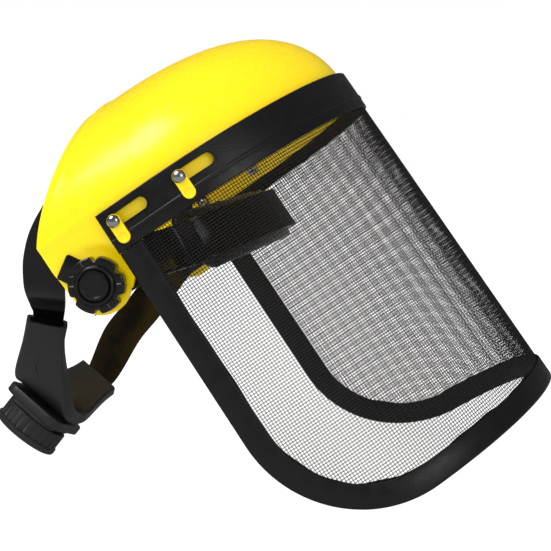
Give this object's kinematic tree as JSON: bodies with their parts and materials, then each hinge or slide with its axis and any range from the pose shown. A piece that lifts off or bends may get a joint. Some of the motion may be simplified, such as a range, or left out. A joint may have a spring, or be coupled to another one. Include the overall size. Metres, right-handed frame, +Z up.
{
  "type": "face shield",
  "caption": "Brow guard with a curved wire mesh visor that tips up on a ratchet head harness.",
  "frame": {"origin": "middle of the footprint, on the surface the shield lies on", "axes": "+Z up, -Y the way the wearer looks, -X the wearer's right; the shield is at rest on the lower corners of its visor and on its nape knob"},
  "size_m": [0.242, 0.298, 0.222],
  "materials": {
    "guard_yellow": "moulded polypropylene, glossy",
    "wire_mesh": "black coated wire mesh",
    "black_plastic": "moulded black polyethylene trim",
    "harness_black": "moulded black polyethylene strap, semi gloss",
    "knob_black": "moulded black nylon",
    "foam_pad": "foam pad in knitted cloth",
    "bright_steel": "nickel plated steel"
  },
  "bodies": {
    "harness": {"headband": "harness_black", "sweatband": "foam_pad", "rear_strap_right": "harness_black", "rear_strap_left": "harness_black", "crown_strap_right": "harness_black", "crown_strap_left": "harness_black", "nape_cradle": "harness_black", "ratchet_housing": "harness_black", "ratchet_cover": "harness_black", "click_spring": "bright_steel", "pivot_bolt_right": "bright_steel", "pivot_bolt_left": "bright_steel", "friction_washer_right": "knob_black", "friction_washer_left": "knob_black"},
    "guard": {"pivot_plate_right": "harness_black", "pivot_plate_left": "harness_black", "brow_guard": "guard_yellow", "visor_mesh": "wire_mesh", "visor_top_strip": "black_plastic", "visor_edge_binding": "black_plastic", "latch_rivet_right_front": "bright_steel", "rivet_washer_right_front": "bright_steel", "latch_rivet_right_rear": "bright_steel", "rivet_washer_right_rear": "bright_steel", "latch_rivet_left_front": "bright_steel", "rivet_washer_left_front": "bright_steel", "latch_rivet_left_rear": "bright_steel", "rivet_washer_left_rear": "bright_steel"},
    "ratchet": {"ratchet_knob": "knob_black", "ratchet_pinion": "knob_black", "ratchet_screw": "bright_steel"},
    "rack_right": {"strap_rack_right": "harness_black"},
    "rack_left": {"strap_rack_left": "harness_black"},
    "knob_right": {"pivot_knob_right": "knob_black", "knob_cap_right": "knob_black"},
    "knob_left": {"pivot_knob_left": "knob_black", "knob_cap_left": "knob_black"},
    "latch_right_front": {"latch_right_front": "guard_yellow"},
    "latch_right_rear": {"latch_right_rear": "guard_yellow"},
    "latch_left_front": {"latch_left_front": "guard_yellow"},
    "latch_left_rear": {"latch_left_rear": "guard_yellow"}
  },
  "joints": [
    {"name": "guard_tilt", "type": "hinge", "parent": "harness", "child": "guard", "pos_m": [0, 0.06357, 0.10315], "axis": [-1, 0, 0], "range_deg": [0, 60]},
    {"name": "latch_right_front_turn", "type": "hinge", "parent": "guard", "child": "latch_right_front", "pos_m": [-0.11072, 0.02447, 0.15314], "axis": [-0.9825, -0.1551, 0.103], "range_deg": [0, 90]},
    {"name": "latch_right_rear_turn", "type": "hinge", "parent": "guard", "child": "latch_right_rear", "pos_m": [-0.11213, 0.05488, 0.13293], "axis": [-1, 0, 0], "range_deg": [0, 90]},
    {"name": "knob_right_spin", "type": "hinge", "parent": "harness", "child": "knob_right", "pos_m": [-0.115, 0.06357, 0.10315], "axis": [-1, 0, 0], "range_deg": [-180, 180]},
    {"name": "latch_left_front_turn", "type": "hinge", "parent": "guard", "child": "latch_left_front", "pos_m": [0.11072, 0.02447, 0.15314], "axis": [-0.9825, 0.1551, -0.103], "range_deg": [0, 90]},
    {"name": "latch_left_rear_turn", "type": "hinge", "parent": "guard", "child": "latch_left_rear", "pos_m": [0.11213, 0.05488, 0.13293], "axis": [-1, 0, 0], "range_deg": [0, 90]},
    {"name": "knob_left_spin", "type": "hinge", "parent": "harness", "child": "knob_left", "pos_m": [0.115, 0.06357, 0.10315], "axis": [1, 0, 0], "range_deg": [-180, 180]},
    {"name": "ratchet_spin", "type": "hinge", "parent": "harness", "child": "ratchet", "pos_m": [0, 0.11929, 0.03071], "axis": [-0.1324, 0.6134, -0.7786], "range_deg": [-45, 45]},
    {"name": "rack_right_slide", "type": "slide", "parent": "harness", "child": "rack_right", "axis": [0.9596, -0.1175, -0.2557], "range_m": [-0.00393, 0.00393]},
    {"name": "rack_left_slide", "type": "slide", "parent": "harness", "child": "rack_left", "axis": [-0.9596, 0.1175, 0.2557], "range_m": [-0.00393, 0.00393]}
  ],
  "couplings": [
    {"joint": "rack_right_slide", "follows": "ratchet_spin", "m_per_rad": 0.005},
    {"joint": "rack_left_slide", "follows": "ratchet_spin", "m_per_rad": 0.005}
  ]
}
